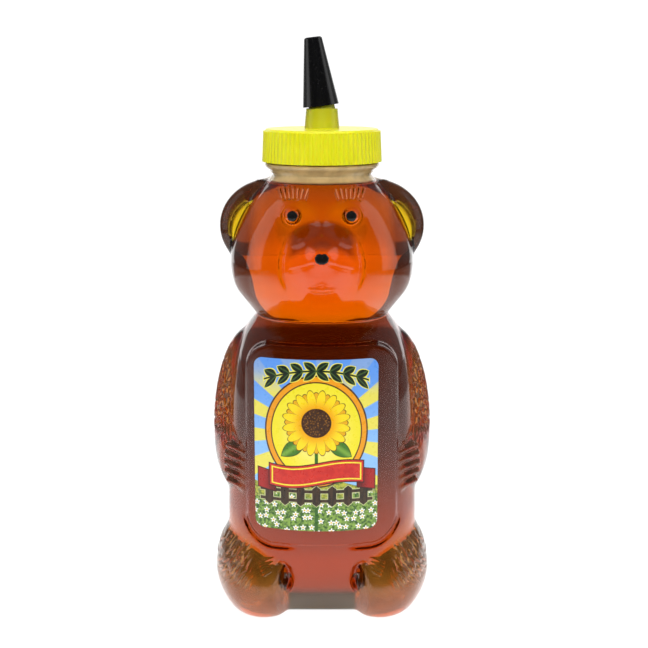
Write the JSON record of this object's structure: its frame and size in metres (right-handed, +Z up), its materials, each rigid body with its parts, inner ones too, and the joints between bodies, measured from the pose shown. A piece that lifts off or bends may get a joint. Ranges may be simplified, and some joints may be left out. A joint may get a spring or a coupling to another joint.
{
  "type": "honey bear bottle",
  "caption": "Honey-filled squeeze bottle in the shape of a sitting bear, with a ribbed screw cap, a pouring spout and a push-on cone that covers it.",
  "frame": {"origin": "centre of the base, on the neck's axis, at the level that the bottle stands on", "axes": "+Z up along the neck's axis; the bear faces -Y; +X is the bear's left side"},
  "size_m": [0.077, 0.0686, 0.1948],
  "materials": {
    "clear_pet": "gloss",
    "honey": "gloss",
    "label_film": "satin",
    "yellow_pp": "satin",
    "black_pe": "gloss",
    "white_foam": "matte",
    "black_paint": "gloss"
  },
  "bodies": {
    "filled_bottle": {"bottle": "clear_pet", "honey": "honey", "label": "label_film", "eye_paint_left": "black_paint", "eye_paint_right": "black_paint", "nose_paint": "black_paint"},
    "liner": {"cap_liner": "white_foam"},
    "screw_cap": {"cap": "yellow_pp"},
    "tip": {"tip_cap": "black_pe"}
  },
  "joints": [
    {"name": "cap_lift", "type": "slide", "parent": "filled_bottle", "child": "liner", "axis": [0, 0, 1], "range_m": [0, 0.0047]},
    {"name": "cap_turn", "type": "hinge", "parent": "liner", "child": "screw_cap", "pos_m": [0, 0, 0.1626], "axis": [0, 0, 1], "range_deg": [0, 400]},
    {"name": "tip_pull", "type": "slide", "parent": "screw_cap", "child": "tip", "axis": [-0.1184, 0, 0.993], "range_m": [0, 0.025]}
  ],
  "couplings": [
    {"joint": "cap_turn", "follows": "cap_lift", "rad_per_m": 1484.2}
  ]
}
